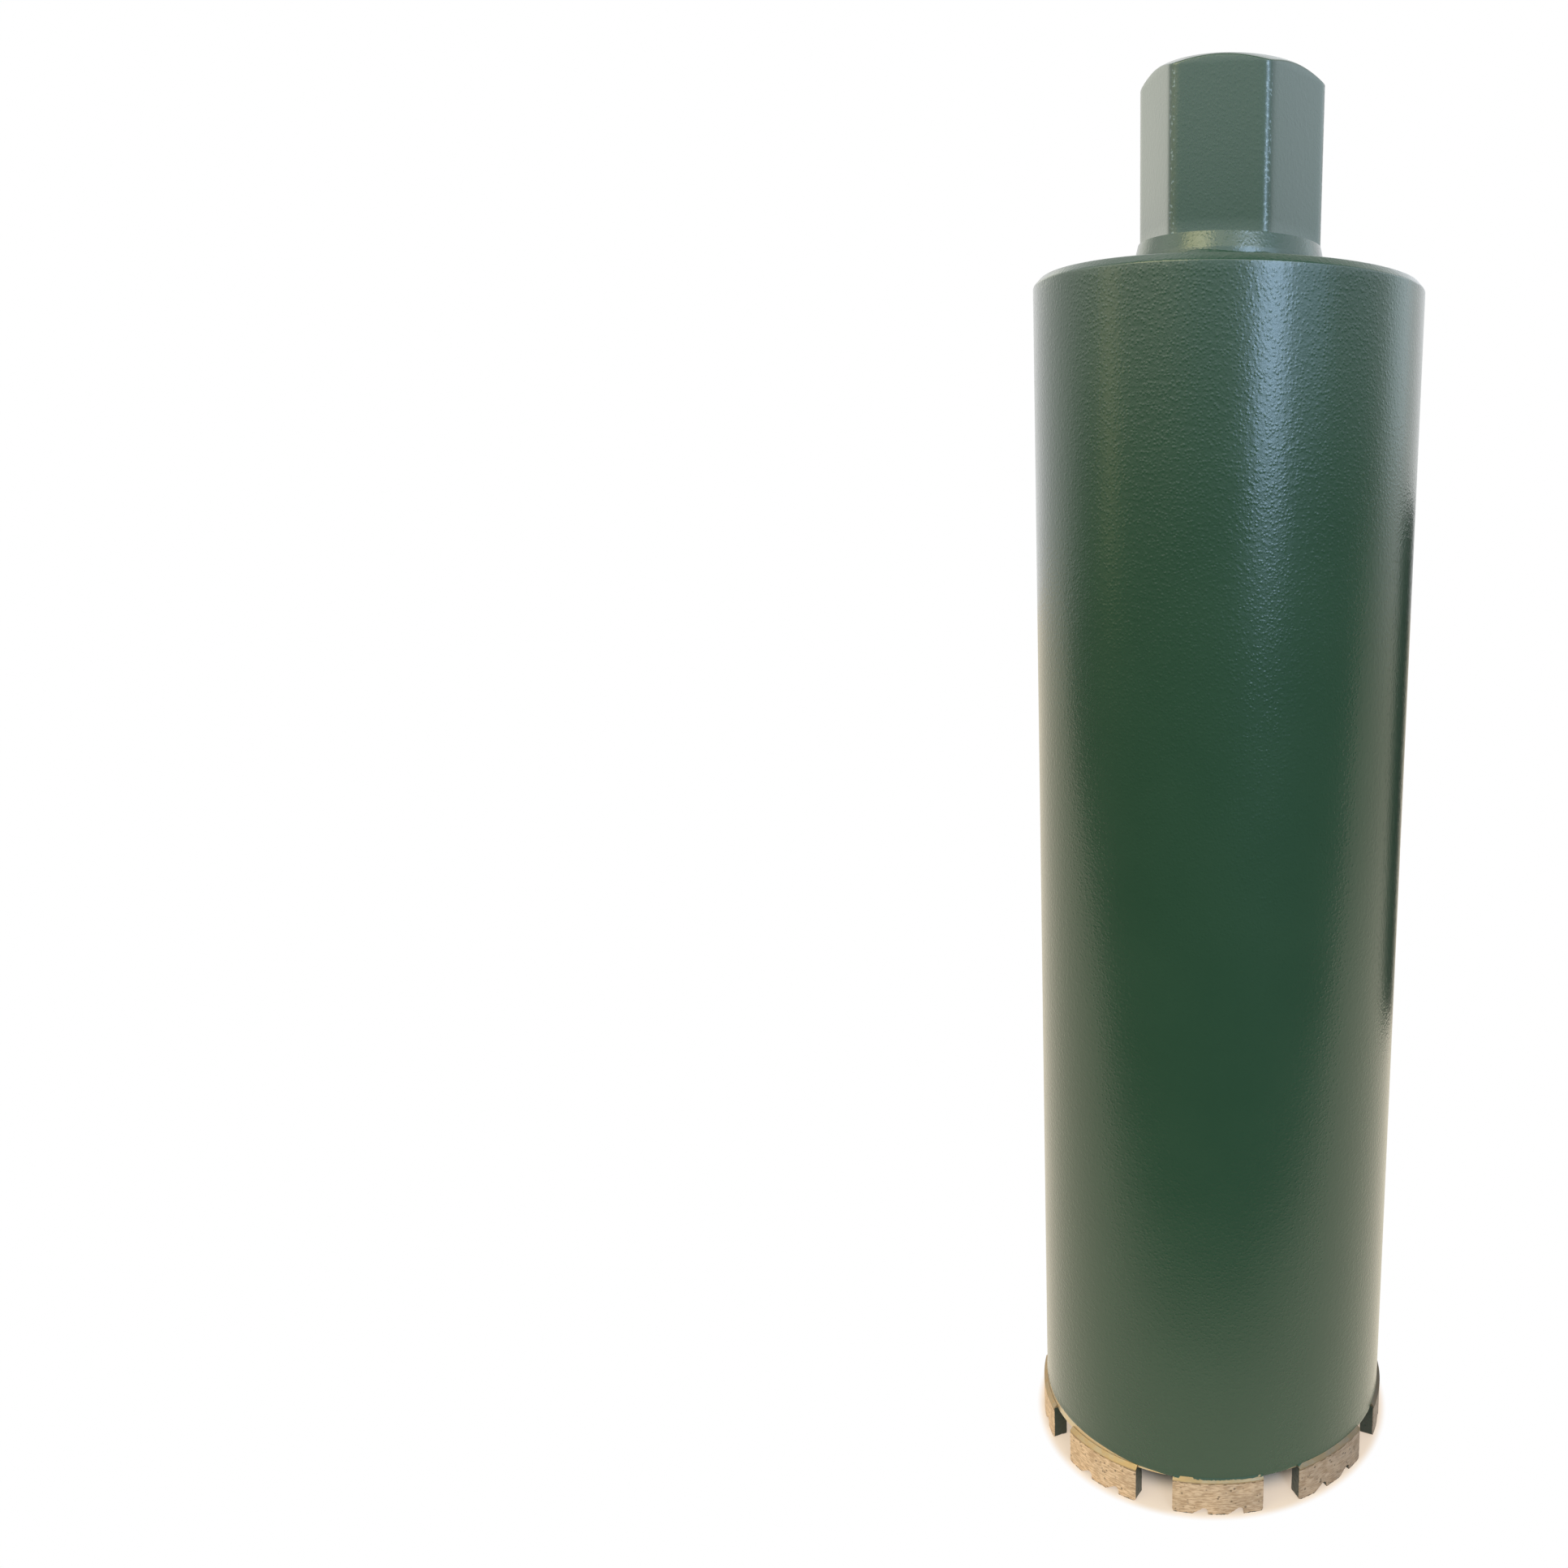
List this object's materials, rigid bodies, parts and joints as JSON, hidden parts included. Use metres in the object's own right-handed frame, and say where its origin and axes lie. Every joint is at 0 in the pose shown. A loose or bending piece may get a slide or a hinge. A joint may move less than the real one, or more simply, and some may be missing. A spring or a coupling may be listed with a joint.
{
  "type": "diamond core bit",
  "caption": "Thin-walled steel core bit with a crown of grooved diamond cutting segments at the open end and a hexagonal, internally threaded drive hub on a welded end plate.",
  "frame": {"origin": "centre of the crown in the plane of the cutting faces, where the bit stands on its segments", "axes": "+Z along the axis of rotation from the cutting crown to the drive hub; flats of the hexagon face +Y and -Y"},
  "size_m": [0.1017, 0.102, 0.3707],
  "materials": {
    "painted_tube": "semi-gloss dark green paint with fine orange peel over steel",
    "painted_hub": "semi-gloss dark green paint over turned and milled steel",
    "diamond_segment": "ground metal bond with diamond grit, painted on the cutting face",
    "silver_braze": "bare ground brazing alloy"
  },
  "bodies": {
    "root": {"barrel_tube": "painted_tube", "end_plate": "painted_tube", "rim_weld": "painted_tube", "hub": "painted_hub", "hub_weld": "painted_hub", "segment_1": "diamond_segment", "braze_1": "silver_braze", "segment_2": "diamond_segment", "braze_2": "silver_braze", "segment_3": "diamond_segment", "braze_3": "silver_braze", "segment_4": "diamond_segment", "braze_4": "silver_braze", "segment_5": "diamond_segment", "braze_5": "silver_braze", "segment_6": "diamond_segment", "braze_6": "silver_braze", "segment_7": "diamond_segment", "braze_7": "silver_braze", "segment_8": "diamond_segment", "braze_8": "silver_braze", "segment_9": "diamond_segment", "braze_9": "silver_braze"}
  },
  "joints": []
}
